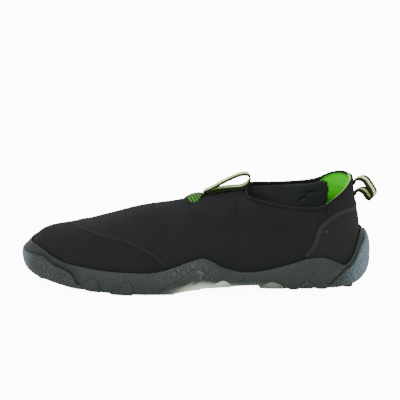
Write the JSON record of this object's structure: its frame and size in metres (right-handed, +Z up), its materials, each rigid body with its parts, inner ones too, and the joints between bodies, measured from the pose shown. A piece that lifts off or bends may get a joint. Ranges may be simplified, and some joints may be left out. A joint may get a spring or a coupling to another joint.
{
  "type": "water shoe",
  "caption": "Pull-on water shoe for the left foot: moulded rubber cup sole with waved edge, hollow stretch upper, ribbon pull loops on instep and heel.",
  "frame": {"origin": "the middle of the flat face of the heel's centre lug, on the ground", "axes": "+X from toe to heel along the sole, +Y to the inner side of the left foot, +Z up"},
  "size_m": [0.2935, 0.1051, 0.0894],
  "materials": {
    "sole_rubber": "matt moulded rubber",
    "footbed_foam": "cloth-faced foam",
    "upper_cloth": "smooth stretch knit over foam",
    "binding_cloth": "folded edging tape",
    "seam_tape": "welded film tape",
    "ribbon": "woven ribbon, pale stripe and dark edges"
  },
  "bodies": {
    "root": {"outsole": "sole_rubber", "insole": "footbed_foam", "upper": "upper_cloth", "collar_binding": "binding_cloth", "toe_seam_tape": "seam_tape", "counter_seam_tape": "seam_tape", "instep_anchor": "binding_cloth", "instep_pull_loop": "ribbon", "heel_pull_loop": "ribbon"}
  },
  "joints": []
}
